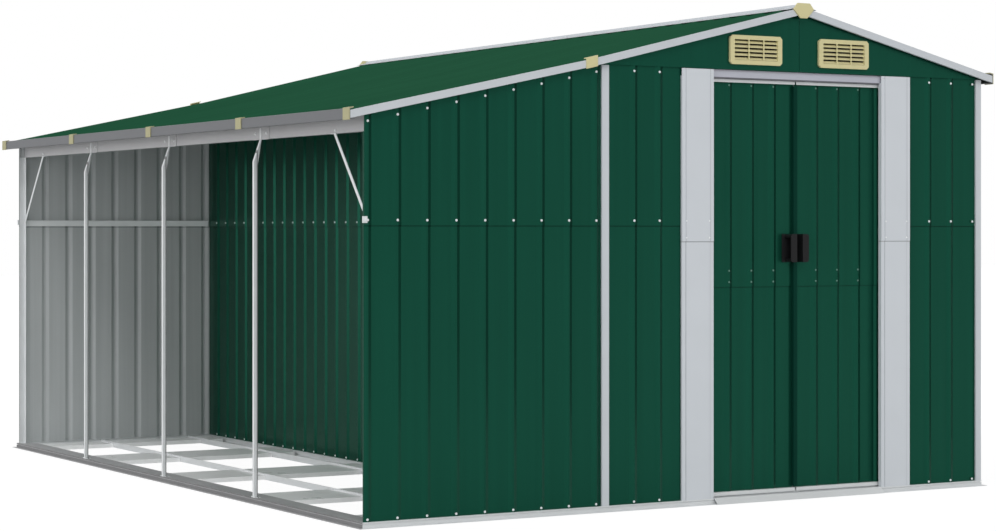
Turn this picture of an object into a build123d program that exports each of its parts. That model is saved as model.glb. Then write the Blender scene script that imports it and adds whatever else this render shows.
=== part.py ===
from build123d import *
import math
import os

os.makedirs("parts", exist_ok=True)

# Metal storage shed with a gable roof, two sliding doors and an open lean-to on its left side.
# Millimetres. X runs right along the front, Y runs back, Z is up, and z = 0 is the ground.
# The origin is under the middle of the roof. X sizes count from the open side's wall line.

# Plan of the walls, measured on the flats of the sheets
wall_width = 2613.0
wall_length = 3373.0
leanto_width = 914.0
ridge_shift = 4.0

# Roof, measured along the top edge of the rake trims
roof_over_wall = 27.0
roof_slope = 0.2437
leanto_slope = 0.213
joint_overhang = 56.0
eave_overhang = 65.0
right_overhang = 46.0
end_overhang = 30.0

# Sheet metal and clearances
sheet = 1.5
seat_gap = 0.3
sliding_gap = 5.5

# Ribs pressed outwards in the wall, door and roof sheets
rib_depth = 6.0
rib_crest = 8.0
rib_root = 34.0
leanto_rib_pitch = 110.0
shed_rib_pitch = 105.6
side_rib_pitch = 102.0
roof_rib_pitch = 105.4
door_rib_pitch = 97.2
leanto_first_rib = 11.0
front_first_rib = 606.9
door_first_rib = 96.0
roof_first_rib = 30.0

# Heights
base_height = 20.0
wall_lap = 984.0
lap_overlap = 28.0
post_top = 1537.0
gable_seat = 2.0
gable_lap = 16.0

# Base rails and floor frame
rail_step = 9.0
rail_flange = 24.0
rail_inner = 65.0
rail_groove = 3.0
rail_groove_low = 12.5
rail_groove_high = 16.0
floor_beam_height = 24.0
floor_beam_leaf = 25.0
leanto_beam_x = 362.0
leanto_edge_beam_inset = 131.0
shed_beam_x = 280.0
plate_width = 270.0
end_plate_width = 150.0
plate_height = 17.0

# Corner strips, seam strips and lean-to end posts
strip_stand = 7.5
seam_strip_width = 28.5
corner_leaf = 25.0
end_post_leaf = 22.0

# Open side: slim posts on the rail, and the beam, end posts and braces on a line behind them
post_line = 5.0
frame_line = 22.0
bay_count = 4
post_size = 14.0
post_bend = 30.0
post_flat = 40.0
post_flat_thickness = 2.0
foot_length = 34.0
foot_width = 22.0
foot_thickness = 2.0
beam_depth = 79.0
beam_flange = 25.0
beam_joint_length = 140.0
beam_joint_height = 52.0
beam_joint_drop = 2.0
brace_reach = 250.0
brace_bottom = 1003.0
brace_width = 13.0
brace_thickness = 2.0
brace_tab_length = 28.0
brace_tab_width = 14.0

# Inner rails and purlins
mid_rail_height = 25.0
mid_rail_depth = 12.0
top_rail_height = 30.0
purlin_width = 30.0
purlin_depth = 40.0

# Roof edge trims, ridge cap and their moulded clips
trim_height = 25.5
trim_flange = 18.0
trim_lip = 10.0
eave_height = 34.0
ridge_cap_half = 60.0
ridge_roll_half = 11.0
ridge_roll_height = 5.0
end_cap_top_half = 27.0
end_cap_half = 45.0
end_cap_foot_half = 15.0
end_cap_shoulder = 22.0
end_cap_height = 54.0
end_cap_thickness = 6.0
clip_length = 46.0
clip_thickness = 3.0
clip_lip = 14.0

# Doorway
door_half_opening = 377.6
jamb_width = 135.6
jamb_return = 14.5
jamb_bead = 15.0
jamb_band = 16.0
jamb_lap = 929.0
door_crest = 21.0
door_edge_cover = 12.0
door_middle_gap = 3.0
door_margin = 20.0
door_bottom_rail = 12.5
door_top_rail = 11.0
door_lap = 766.0
door_lap_overlap = 76.0
door_frame_bar = 25.0
door_frame_depth = 15.0
cover_strip_half = 7.5
cover_strip_gap = 5.3
header_height = 26.5
header_over_posts = 1.0
track_ledge = 11.0
track_depth = 56.0
track_back_lip = 16.0
guide_line = 22.0
guide_height = 11.0
guide_depth = 32.0
guide_back_lip = 10.0
block_length = 40.0
block_width = 7.5
block_height = 12.0
hanger_width = 34.0
hanger_inset = 70.0
hanger_thickness = 2.0
threshold_reach = 21.0
threshold_tail = 8.7

# Door handles
handle_bottom = 853.0
handle_height = 101.6
handle_width = 40.0
handle_inset = 13.0
handle_plate = 3.0
handle_reach = 40.0
handle_grip_width = 27.0
handle_wall = 3.0
handle_pocket_height = 76.0
handle_radius = 9.0

# Gable vents
vent_width = 228.0
vent_height = 104.0
vent_depth = 10.0
vent_corner = 9.0
vent_side_border = 19.0
vent_end_border = 15.0
vent_offset = 197.5
vent_rise = 71.0
vent_columns = 3
vent_rows = 5
vent_mullion = 5.0
mullion_depth = 2.5
louvre_lift = 1.0
louvre_setback = 3.0
louvre_thickness = 2.0
louvre_rise = 7.5

# Places worked out from the sizes above. The ridge stands just left of the room's middle.
ridge_inset = (wall_width - leanto_width) / 2 + ridge_shift
roof_span = eave_overhang + wall_width + right_overhang
open_x = eave_overhang - roof_span / 2
right_x = open_x + wall_width
shed_x = open_x + leanto_width
ridge_x = right_x - ridge_inset
joint_x = shed_x - joint_overhang
left_eave_x = open_x - eave_overhang
right_eave_x = right_x + right_overhang
front_y = -wall_length / 2
back_y = wall_length / 2
frame_x = open_x + frame_line
post_x = open_x + post_line - post_size / 2
ridge_top = post_top + roof_over_wall + roof_slope * ridge_inset
joint_top = ridge_top - roof_slope * (ridge_x - joint_x)
gable_bottom = post_top + gable_seat
bay_length = wall_length / bay_count
lower_skin = sheet + seat_gap
wall_depth = lower_skin + sheet
door_face = door_crest + rib_depth
door_frame_face = door_face + lower_skin + sheet + seat_gap
track_top = post_top + header_over_posts
track_bottom = track_top - header_height
door_top = track_bottom - sliding_gap
door_bottom = base_height + sliding_gap
seam_x = shed_x + seam_strip_width / 2
rail_top_inner = rail_inner + seat_gap


def roof_line(x):
    """Height of the top edge of the rake trims at x."""
    if x >= ridge_x:
        return ridge_top - roof_slope * (x - ridge_x)
    if x >= joint_x:
        return ridge_top - roof_slope * (ridge_x - x)
    return joint_top - leanto_slope * (joint_x - x)


def roof_under(x):
    """Height of the roof sheets' underside at x."""
    return roof_line(x) - 2 * sheet


def crest_over(x):
    """Height of the roof ribs' crests at x."""
    return roof_line(x) - sheet + rib_depth


def rib_height(distance):
    """How far a pressed sheet stands out, at a distance from the middle of its nearest rib."""
    flank = (rib_root - rib_crest) / 2
    return rib_depth * min(1.0, max(0.0, (rib_root / 2 - distance) / flank))


def ribbed_outline(start, end, first, pitch, face, out, cover_start=0.0, cover_end=0.0):
    """Section of a ribbed sheet: face is its outer flat, and out is the side its ribs stand to.

    A cover is the width at an end that a strip or trim hides. No rib reaches into it.
    """
    low = math.floor((start - first) / pitch) - 1
    high = math.ceil((end - first) / pitch) + 1
    centres = [first + pitch * step for step in range(low, high + 1)]
    if cover_start > 0:
        centres = [centre for centre in centres if centre - rib_root / 2 > start + cover_start]
    if cover_end > 0:
        centres = [centre for centre in centres if centre + rib_root / 2 < end - cover_end]
    reach = (-rib_root / 2, -rib_crest / 2, rib_crest / 2, rib_root / 2)
    knots = [centre + offset for centre in centres for offset in reach]
    places = [start] + [knot for knot in knots if start + 1 < knot < end - 1] + [end]
    outer = []
    for place in places:
        nearest = min([abs(place - centre) for centre in centres] + [rib_root])
        outer.append((place, face + out * rib_height(nearest)))
    inner = [(place, depth - out * sheet) for place, depth in reversed(outer)]
    return outer + inner


def turned(points):
    """The same outline with its two directions exchanged, for a sheet that runs along Y."""
    return [(b, a) for a, b in points]


def shifted(points, across, up):
    """The same outline moved across and up."""
    return [(a + across, b + up) for a, b in points]


def filled(points):
    """Fill one closed outline in the sketch that is open."""
    Polygon(*points)


def wall_section(height):
    """Plane of a wall's section at a height."""
    return Plane.XY.offset(height)


def roof_slope_plane(x, slope):
    """Plane of the roof sheets' underside through x, with its normal upwards."""
    return Plane(origin=(x, 0, roof_under(x) - seat_gap), x_dir=(0, 1, 0), z_dir=(-slope, 0, 1))


def rail_outline(out):
    """Section of a base rail: a ground flange, a grooved step, a flat top and an inner leg."""
    points = [
        (rail_flange, 0),
        (rail_flange, sheet),
        (rail_step, sheet),
        (rail_step, rail_groove_low),
        (rail_step - rail_groove, rail_groove_low),
        (rail_step - rail_groove, rail_groove_high),
        (rail_step, rail_groove_high),
        (rail_step, base_height),
        (-rail_inner, base_height),
        (-rail_inner, 0),
        (-rail_inner + sheet, 0),
        (-rail_inner + sheet, base_height - sheet),
        (rail_step - rail_groove - sheet, base_height - sheet),
        (rail_step - rail_groove - sheet, rail_groove_low - sheet),
        (rail_step - sheet, rail_groove_low - sheet),
        (rail_step - sheet, 0),
    ]
    return [(out * across, up) for across, up in points]


# Base rails, mitred where they meet at the four corners
corner_reach = 2 * rail_inner
with BuildPart() as base_rails_ends:
    with BuildSketch(Plane.YZ.offset(open_x - corner_reach)):
        filled(shifted(rail_outline(-1), front_y, 0))
    extrude(amount=wall_width + 2 * corner_reach)
    split(bisect_by=Plane(origin=(open_x, front_y, 0), z_dir=(1, -1, 0)), keep=Keep.TOP)
    split(bisect_by=Plane(origin=(right_x, front_y, 0), z_dir=(-1, -1, 0)), keep=Keep.TOP)
    mirror(about=Plane.XZ)
base_rails_ends.part.label = "base_rails_ends"

with BuildPart() as base_rails_sides:
    with BuildSketch(Plane.XZ.offset(-back_y - corner_reach)):
        filled(shifted(rail_outline(-1), open_x, 0))
    extrude(amount=wall_length + 2 * corner_reach)
    split(bisect_by=Plane(origin=(open_x, front_y, 0), z_dir=(-1, 1, 0)), keep=Keep.TOP)
    split(bisect_by=Plane(origin=(open_x, back_y, 0), z_dir=(-1, -1, 0)), keep=Keep.TOP)
    mirror(about=Plane.YZ.offset(open_x + wall_width / 2))
base_rails_sides.part.label = "base_rails_sides"

# Rail under the wall between the lean-to and the room, with the same section
inner_length = wall_length - 2 * rail_top_inner
with BuildPart() as base_rail_middle:
    with BuildSketch(Plane.XZ.offset(-inner_length / 2)):
        filled(shifted(rail_outline(-1), shed_x, 0))
    extrude(amount=inner_length)
base_rail_middle.part.label = "base_rail_middle"

# Lengthwise floor beams: two angles in the lean-to and two in the room
leanto_beams = [open_x + leanto_beam_x, shed_x - leanto_edge_beam_inset]
shed_beams = [ridge_x - shed_beam_x, ridge_x + shed_beam_x]
with BuildPart() as floor_beams:
    with BuildSketch(Plane.XZ.offset(-inner_length / 2)):
        for beam_x in leanto_beams + shed_beams:
            filled(
                [
                    (beam_x, 0),
                    (beam_x, floor_beam_height),
                    (beam_x + sheet, floor_beam_height),
                    (beam_x + sheet, sheet),
                    (beam_x + floor_beam_leaf, sheet),
                    (beam_x + floor_beam_leaf, 0),
                ]
            )
    extrude(amount=inner_length)
floor_beams.part.label = "floor_beams"

# Floor cross plates, with edges turned down to the ground, between the rails and beams
plate_rows = [(front_y + bay_length * step, plate_width) for step in range(1, bay_count)]
end_plate_y = wall_length / 2 - rail_top_inner - end_plate_width / 2
plate_rows += [(-end_plate_y, end_plate_width), (end_plate_y, end_plate_width)]


def plate_outline(middle, width):
    """Section of a cross plate: a flat top with both edges turned down."""
    low, high = middle - width / 2, middle + width / 2
    return [
        (low, 0),
        (low, plate_height),
        (high, plate_height),
        (high, 0),
        (high - sheet, 0),
        (high - sheet, plate_height - sheet),
        (low + sheet, plate_height - sheet),
        (low + sheet, 0),
    ]


plate_spans = [
    (open_x + rail_inner, leanto_beams[0]),
    (leanto_beams[0] + floor_beam_leaf, leanto_beams[1]),
    (leanto_beams[1] + floor_beam_leaf, shed_x - rail_flange),
    (shed_x + rail_inner, shed_beams[0]),
    (shed_beams[0] + floor_beam_leaf, shed_beams[1]),
    (shed_beams[1] + floor_beam_leaf, right_x - rail_inner),
]
with BuildPart() as floor_plates:
    for low_x, high_x in plate_spans:
        with BuildSketch(Plane.YZ.offset(low_x + seat_gap)):
            for middle, width in plate_rows:
                filled(plate_outline(middle, width))
        extrude(amount=high_x - low_x - 2 * seat_gap)
floor_plates.part.label = "floor_plates"

# Lean-to end walls: a lower and an upper sheet, lapped, with the top cut to the roof's slope
lap_top = wall_lap + lap_overlap
wall_stock = ridge_top - wall_lap
leanto_end = seam_x - seat_gap / 2
leanto_first = open_x + leanto_first_rib
lower_front = front_y + lower_skin


def leanto_sheet(face):
    """Section of a sheet of the lean-to's front wall."""
    return ribbed_outline(
        open_x, leanto_end, leanto_first, leanto_rib_pitch, face, -1, cover_end=seam_strip_width / 2
    )


with BuildPart() as leanto_front_wall:
    with BuildSketch(wall_section(base_height)):
        filled(leanto_sheet(lower_front))
    extrude(amount=lap_top - base_height)
    with BuildSketch(wall_section(wall_lap)):
        filled(leanto_sheet(front_y))
    extrude(amount=wall_stock)
    split(bisect_by=roof_slope_plane(joint_x, leanto_slope), keep=Keep.BOTTOM)
leanto_front_wall.part.label = "leanto_front_wall"

with BuildPart() as leanto_back_wall:
    mirror(leanto_front_wall.part, about=Plane.XZ)
leanto_back_wall.part.label = "leanto_back_wall"

# Side walls of the room, a lower and an upper sheet each
side_start = front_y + wall_depth + seat_gap
side_end = back_y - wall_depth - seat_gap
side_first = front_y + (wall_length % side_rib_pitch) / 2


def side_sheet(face, out):
    """Section of a sheet of a side wall, which runs along Y."""
    cover = corner_leaf
    return turned(
        ribbed_outline(side_start, side_end, side_first, side_rib_pitch, face, out, cover, cover)
    )


with BuildPart() as shed_left_wall:
    with BuildSketch(wall_section(base_height)):
        filled(side_sheet(shed_x + lower_skin, -1))
    extrude(amount=lap_top - base_height)
    with BuildSketch(wall_section(wall_lap)):
        filled(side_sheet(shed_x, -1))
    extrude(amount=roof_under(shed_x - rib_depth) - seat_gap - wall_lap)
shed_left_wall.part.label = "shed_left_wall"

with BuildPart() as shed_right_wall:
    with BuildSketch(wall_section(base_height)):
        filled(side_sheet(right_x - lower_skin, 1))
    extrude(amount=lap_top - base_height)
    with BuildSketch(wall_section(wall_lap)):
        filled(side_sheet(right_x, 1))
    extrude(amount=roof_under(right_x + rib_depth) - seat_gap - wall_lap)
shed_right_wall.part.label = "shed_right_wall"

# Back wall of the room and the two front panels beside the doorway
panel_top = gable_bottom + gable_lap
seam_cover = seam_strip_width / 2
shed_start = seam_x + seat_gap / 2
shed_end = right_x - seat_gap
jamb_inner = door_half_opening
jamb_outer = door_half_opening + jamb_width
jamb_tuck = jamb_outer - jamb_bead
lower_back = back_y - lower_skin


def end_sheet(low_x, high_x, rib_x, face, out, cover_low, cover_high):
    """Section of a sheet of the room's front or back wall."""
    return ribbed_outline(low_x, high_x, rib_x, shed_rib_pitch, face, out, cover_low, cover_high)


with BuildPart() as shed_back_wall:
    with BuildSketch(wall_section(base_height)):
        filled(end_sheet(shed_start, shed_end, ridge_x, lower_back, 1, seam_cover, corner_leaf))
    extrude(amount=lap_top - base_height)
    with BuildSketch(wall_section(wall_lap)):
        filled(end_sheet(shed_start, shed_end, ridge_x, back_y, 1, seam_cover, corner_leaf))
    extrude(amount=panel_top - wall_lap)
shed_back_wall.part.label = "shed_back_wall"

left_panel_end = ridge_x - jamb_tuck
left_first = ridge_x - front_first_rib
with BuildPart() as front_wall_left:
    with BuildSketch(wall_section(base_height)):
        filled(end_sheet(shed_start, left_panel_end, left_first, lower_front, -1, seam_cover, jamb_bead))
    extrude(amount=lap_top - base_height)
    with BuildSketch(wall_section(wall_lap)):
        filled(end_sheet(shed_start, left_panel_end, left_first, front_y, -1, seam_cover, jamb_bead))
    extrude(amount=panel_top - wall_lap)
front_wall_left.part.label = "front_wall_left"

right_panel_start = ridge_x + jamb_tuck
right_first = ridge_x + front_first_rib
with BuildPart() as front_wall_right:
    with BuildSketch(wall_section(base_height)):
        filled(end_sheet(right_panel_start, shed_end, right_first, lower_front, -1, jamb_bead, corner_leaf))
    extrude(amount=lap_top - base_height)
    with BuildSketch(wall_section(wall_lap)):
        filled(end_sheet(right_panel_start, shed_end, right_first, front_y, -1, jamb_bead, corner_leaf))
    extrude(amount=panel_top - wall_lap)
front_wall_right.part.label = "front_wall_right"

# Door jambs: a wide plain channel on each side of the doorway, lapped in its height
door_mirror = Plane.YZ.offset(ridge_x)
jamb_face = front_y - strip_stand
jamb_back = front_y - rib_depth
outer_x = ridge_x - jamb_outer
inner_x = ridge_x - jamb_inner
band_outer = outer_x + jamb_band
band_inner = inner_x - jamb_band
raised_face = jamb_face - sheet
with BuildPart() as door_jambs:
    with BuildSketch(wall_section(base_height)):
        filled(
            [
                (outer_x, jamb_face),
                (band_outer, jamb_face),
                (band_outer, raised_face),
                (band_inner, raised_face),
                (band_inner, jamb_face),
                (inner_x, jamb_face),
                (inner_x, jamb_back + jamb_return),
                (inner_x - jamb_bead, jamb_back + jamb_return),
                (inner_x - jamb_bead, jamb_back + jamb_return - sheet),
                (inner_x - sheet, jamb_back + jamb_return - sheet),
                (inner_x - sheet, jamb_back),
                (band_inner - sheet, jamb_back),
                (band_inner - sheet, jamb_face),
                (band_outer + sheet, jamb_face),
                (band_outer + sheet, jamb_back),
                (outer_x + sheet, jamb_back),
                (outer_x + sheet, front_y),
                (outer_x, front_y),
            ]
        )
    extrude(amount=track_bottom - seat_gap - base_height)
    with BuildSketch(Plane.XZ.offset(-jamb_back)):
        filled(
            [
                (outer_x, track_bottom - sheet),
                (inner_x, track_bottom - sheet),
                (inner_x, post_top),
                (outer_x, post_top),
            ]
        )
    extrude(amount=sheet)
    with BuildSketch(wall_section(jamb_lap)):
        filled(
            [
                (outer_x, jamb_face),
                (outer_x, raised_face),
                (band_outer - sheet, raised_face),
                (band_outer - sheet, raised_face - sheet),
                (band_inner + sheet, raised_face - sheet),
                (band_inner + sheet, raised_face),
                (inner_x, raised_face),
                (inner_x, jamb_face),
                (band_inner, jamb_face),
                (band_inner, raised_face),
                (band_outer, raised_face),
                (band_outer, jamb_face),
            ]
        )
    extrude(amount=post_top - jamb_lap)
    mirror(about=door_mirror)
door_jambs.part.label = "door_jambs"

# Gables: two flat sheets each, with a joint under the ridge and an opening behind each vent
gable_left = shed_x
gable_right = right_x + strip_stand
vent_z = gable_bottom + vent_rise
vent_field_width = vent_width - 2 * vent_side_border
vent_field_height = vent_height - 2 * vent_end_border
gable_joint = seat_gap + sheet
left_of_joint = ridge_x - gable_joint / 2
right_of_joint = ridge_x + gable_joint / 2
with BuildPart() as front_gable:
    with BuildSketch(Plane.XZ.offset(rib_depth - front_y)):
        filled(
            [
                (gable_left, gable_bottom),
                (gable_left, roof_under(gable_left) - seat_gap),
                (left_of_joint, roof_under(left_of_joint) - seat_gap),
                (left_of_joint, gable_bottom),
            ]
        )
        filled(
            [
                (right_of_joint, gable_bottom),
                (right_of_joint, roof_under(right_of_joint) - seat_gap),
                (gable_right, roof_under(gable_right) - seat_gap),
                (gable_right, gable_bottom),
            ]
        )
        with Locations((ridge_x - vent_offset, vent_z), (ridge_x + vent_offset, vent_z)):
            Rectangle(vent_field_width, vent_field_height, mode=Mode.SUBTRACT)
    extrude(amount=sheet)
front_gable.part.label = "front_gable"

with BuildPart() as back_gable:
    mirror(front_gable.part, about=Plane.XZ)
back_gable.part.label = "back_gable"

# Moulded vents, two on each gable: a frame with cut corners, slim mullions and sloping louvres
vent_column = (vent_field_width - (vent_columns - 1) * vent_mullion) / vent_columns
louvre_pitch = vent_field_height / vent_rows
vent_seat = front_y - strip_stand
vent_front = vent_seat - vent_depth
louvre_tip = vent_front + louvre_setback
with BuildPart() as gable_vents:
    for middle_x in (ridge_x - vent_offset, ridge_x + vent_offset):
        with BuildSketch(Plane.XZ.offset(-vent_seat)):
            with Locations((middle_x, vent_z)):
                Rectangle(vent_width, vent_height)
                chamfer(vertices(), vent_corner)
                Rectangle(vent_field_width, vent_field_height, mode=Mode.SUBTRACT)
        extrude(amount=vent_depth)
        with BuildSketch(Plane.XZ.offset(-vent_front)):
            with Locations((middle_x, vent_z)):
                with GridLocations(vent_column + vent_mullion, 0, vent_columns - 1, 1):
                    Rectangle(vent_mullion, vent_field_height)
        extrude(amount=-mullion_depth)
        for row in range(vent_rows):
            low = vent_z - vent_field_height / 2 + louvre_pitch * row + louvre_lift
            with BuildSketch(Plane.YZ.offset(middle_x - vent_field_width / 2)):
                filled(
                    [
                        (vent_seat, low + louvre_rise),
                        (louvre_tip, low),
                        (louvre_tip, low + louvre_thickness),
                        (vent_seat, low + louvre_rise + louvre_thickness),
                    ]
                )
            extrude(amount=vent_field_width)
    mirror(about=Plane.XZ)
gable_vents.part.label = "gable_vents"

# Seam strips: a folded cover over the joint of the lean-to and the room, front and back
with BuildPart() as seam_strips:
    for wall_y, out in ((front_y, -1), (back_y, 1)):
        with BuildSketch(wall_section(base_height)):
            filled(
                [
                    (shed_x, wall_y),
                    (shed_x, wall_y + out * strip_stand),
                    (shed_x + seam_strip_width, wall_y + out * strip_stand),
                    (shed_x + seam_strip_width, wall_y),
                    (shed_x + seam_strip_width - sheet, wall_y),
                    (shed_x + seam_strip_width - sheet, wall_y + out * rib_depth),
                    (shed_x + sheet, wall_y + out * rib_depth),
                    (shed_x + sheet, wall_y),
                ]
            )
        extrude(amount=post_top - base_height)
seam_strips.part.label = "seam_strips"

# Corner strips: folded angles over the two right corners
with BuildPart() as corner_strips:
    for wall_y, out in ((front_y, -1), (back_y, 1)):
        strip_x = right_x + strip_stand
        strip_y = wall_y + out * strip_stand
        with BuildSketch(wall_section(base_height)):
            filled(
                [
                    (strip_x, strip_y),
                    (strip_x, strip_y - out * corner_leaf),
                    (right_x, strip_y - out * corner_leaf),
                    (right_x, strip_y - out * (corner_leaf - sheet)),
                    (strip_x - sheet, strip_y - out * (corner_leaf - sheet)),
                    (strip_x - sheet, strip_y - out * sheet),
                    (strip_x - corner_leaf + sheet, strip_y - out * sheet),
                    (strip_x - corner_leaf + sheet, wall_y),
                    (strip_x - corner_leaf, wall_y),
                    (strip_x - corner_leaf, strip_y),
                ]
            )
        extrude(amount=post_top - base_height)
corner_strips.part.label = "corner_strips"

# End posts of the open side: plain angles inside the lean-to's end walls, under the eaves beam
beam_bottom = roof_under(frame_x) - seat_gap - beam_depth
frame_back = frame_x + sheet
with BuildPart() as leanto_end_posts:
    for wall_y, out in ((front_y, -1), (back_y, 1)):
        inner_y = wall_y - out * (wall_depth + seat_gap)
        with BuildSketch(wall_section(base_height)):
            filled(
                [
                    (frame_back, inner_y),
                    (frame_back, inner_y - out * end_post_leaf),
                    (frame_x, inner_y - out * end_post_leaf),
                    (frame_x, inner_y - out * sheet),
                    (frame_back - end_post_leaf, inner_y - out * sheet),
                    (frame_back - end_post_leaf, inner_y),
                ]
            )
        extrude(amount=beam_bottom - base_height)
leanto_end_posts.part.label = "leanto_end_posts"

# Slim posts of the open side: square tubes on foot plates, flattened above and bent to the beam
post_rows = [front_y + bay_length * step for step in range(1, bay_count)]
tube_top = beam_bottom - post_bend
tongue_back = frame_x - sheet
tongue_face = tongue_back - post_flat_thickness
tongue_top = beam_bottom + post_flat
foot_x = open_x - rail_step + seat_gap + foot_width / 2
with BuildPart() as open_side_posts:
    for post_y in post_rows:
        with BuildSketch(wall_section(base_height)):
            with Locations((post_x, post_y)):
                Rectangle(post_size, post_size)
                Rectangle(post_size - 2 * sheet, post_size - 2 * sheet, mode=Mode.SUBTRACT)
        extrude(amount=tube_top - base_height)
        with BuildSketch(wall_section(base_height)):
            with Locations((foot_x, post_y)):
                Rectangle(foot_width, foot_length)
        extrude(amount=foot_thickness)
        with BuildSketch(Plane.XZ.offset(-post_y - post_size / 2)):
            filled(
                [
                    (post_x - post_flat_thickness / 2, tube_top - post_size),
                    (post_x - post_flat_thickness / 2, tube_top),
                    (tongue_face, beam_bottom),
                    (tongue_face, tongue_top),
                    (tongue_back, tongue_top),
                    (tongue_back, beam_bottom),
                    (post_x + post_flat_thickness / 2, tube_top),
                    (post_x + post_flat_thickness / 2, tube_top - post_size),
                ]
            )
        extrude(amount=post_size)
open_side_posts.part.label = "open_side_posts"

# Eaves beam over the open side: a channel whose top flange follows the roof, with joint plates
beam_start = front_y + wall_depth + seat_gap
beam_length = wall_length - 2 * (wall_depth + seat_gap)
joint_plate_z = beam_bottom - beam_joint_drop + beam_joint_height / 2
with BuildPart() as eaves_beam:
    beam_back = frame_x + beam_flange
    with BuildSketch(Plane.XZ.offset(-beam_start - beam_length)):
        filled(
            [
                (frame_x, beam_bottom),
                (frame_x, roof_under(frame_x) - seat_gap),
                (beam_back, roof_under(beam_back) - seat_gap),
                (beam_back, roof_under(beam_back) - seat_gap - sheet),
                (frame_back, roof_under(frame_back) - seat_gap - sheet),
                (frame_back, beam_bottom + sheet),
                (beam_back, beam_bottom + sheet),
                (beam_back, beam_bottom),
            ]
        )
    extrude(amount=beam_length)
    with BuildSketch(Plane.YZ.offset(frame_x)):
        with Locations(*[(post_y, joint_plate_z) for post_y in post_rows]):
            Rectangle(beam_joint_length, beam_joint_height)
    extrude(amount=-sheet)
eaves_beam.part.label = "eaves_beam"

# Diagonal braces from the end posts to tabs under the eaves beam
tab_start_x = frame_x - brace_thickness
with BuildPart() as corner_braces:
    for wall_y, out in ((front_y, -1), (back_y, 1)):
        foot_y = wall_y - out * (wall_depth + seat_gap + brace_width)
        head_y = wall_y - out * (wall_depth + brace_reach)
        run_y, run_z = head_y - foot_y, beam_bottom - brace_bottom
        brace_length = math.hypot(run_y, run_z)
        brace_plane = Plane(
            origin=(frame_x, (foot_y + head_y) / 2, (brace_bottom + beam_bottom) / 2),
            x_dir=(0, run_y / brace_length, run_z / brace_length),
            z_dir=(-1, 0, 0),
        )
        with BuildSketch(brace_plane):
            Rectangle(brace_length, brace_width)
        extrude(amount=brace_thickness)
        with BuildSketch(wall_section(beam_bottom)):
            with Locations((tab_start_x + brace_tab_width / 2, head_y - out * brace_tab_length / 2)):
                Rectangle(brace_tab_width, brace_tab_length)
        extrude(amount=-brace_thickness)
corner_braces.part.label = "corner_braces"


# Middle rails at the sheets' lap, on the inner side of every wall
def mid_rail_outline(face, into):
    """Section of a small angle on a wall's inner face; into points into the building."""
    low = lap_top - mid_rail_height
    return [
        (face, low),
        (face, lap_top),
        (face + into * mid_rail_depth, lap_top),
        (face + into * mid_rail_depth, lap_top - sheet),
        (face + into * sheet, lap_top - sheet),
        (face + into * sheet, low),
    ]


inner_face = wall_depth + seat_gap
leanto_rail_start = frame_back + seat_gap
leanto_rail_end = shed_x - rib_depth - seat_gap
room_start = shed_x + inner_face + mid_rail_depth + seat_gap
room_end = right_x - inner_face - mid_rail_depth - seat_gap
with BuildPart() as middle_rails:
    with BuildSketch(Plane.YZ.offset(leanto_rail_start)):
        filled(mid_rail_outline(front_y + inner_face, 1))
        filled(mid_rail_outline(back_y - inner_face, -1))
    extrude(amount=leanto_rail_end - leanto_rail_start)
    with BuildSketch(Plane.YZ.offset(room_start)):
        filled(mid_rail_outline(back_y - inner_face, -1))
    extrude(amount=room_end - room_start)
    with BuildSketch(Plane.YZ.offset(room_start)):
        filled(mid_rail_outline(front_y + inner_face, 1))
    extrude(amount=ridge_x - jamb_tuck - room_start)
    with BuildSketch(Plane.YZ.offset(ridge_x + jamb_tuck)):
        filled(mid_rail_outline(front_y + inner_face, 1))
    extrude(amount=room_end - ridge_x - jamb_tuck)
    with BuildSketch(Plane.XZ.offset(-side_end)):
        filled(mid_rail_outline(shed_x + inner_face, 1))
        filled(mid_rail_outline(right_x - inner_face, -1))
    extrude(amount=side_end - side_start)
middle_rails.part.label = "middle_rails"

# Top rails of the room's side walls, under the roof
with BuildPart() as top_rails:
    with BuildSketch(Plane.XZ.offset(-side_end)):
        for face, into in ((shed_x + lower_skin, 1), (right_x - lower_skin, -1)):
            back = face + into * mid_rail_depth
            top = min(roof_under(face), roof_under(back)) - seat_gap
            filled(
                [
                    (face, top - top_rail_height),
                    (face, top),
                    (back, top),
                    (back, top - sheet),
                    (face + into * sheet, top - sheet),
                    (face + into * sheet, top - top_rail_height),
                ]
            )
    extrude(amount=side_end - side_start)
top_rails.part.label = "top_rails"


# Purlins: folded channels, open below, that carry the roof sheets from end to end
def purlin_outline(middle):
    """Section of a purlin, with its top along the roof."""
    low, high = middle - purlin_width / 2, middle + purlin_width / 2
    bottom = min(roof_under(low), roof_under(high)) - purlin_depth
    peak = [(middle, roof_under(middle) - seat_gap)]
    inner_peak = [(middle, roof_under(middle) - seat_gap - sheet)]
    return (
        [(low, bottom), (low, roof_under(low) - seat_gap)]
        + peak
        + [(high, roof_under(high) - seat_gap), (high, bottom), (high - sheet, bottom)]
        + [(high - sheet, roof_under(high - sheet) - seat_gap - sheet)]
        + inner_peak
        + [(low + sheet, roof_under(low + sheet) - seat_gap - sheet), (low + sheet, bottom)]
    )


gable_inner = wall_length + 2 * (rib_depth - seat_gap)
leanto_inner = wall_length - 2 * lower_skin
with BuildPart() as roof_purlins:
    with BuildSketch(Plane.XZ.offset(-gable_inner / 2)):
        filled(purlin_outline(ridge_x))
        filled(purlin_outline((ridge_x + shed_x) / 2))
        filled(purlin_outline((ridge_x + right_x) / 2))
    extrude(amount=gable_inner)
    with BuildSketch(Plane.XZ.offset(-leanto_inner / 2)):
        filled(purlin_outline((open_x + joint_x) / 2))
    extrude(amount=leanto_inner)
roof_purlins.part.label = "roof_purlins"

# Roof sheets: one ribbed slope each, made along the fall with upright ends
roof_front = front_y - end_overhang + sheet
roof_back = back_y + end_overhang - sheet


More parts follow.
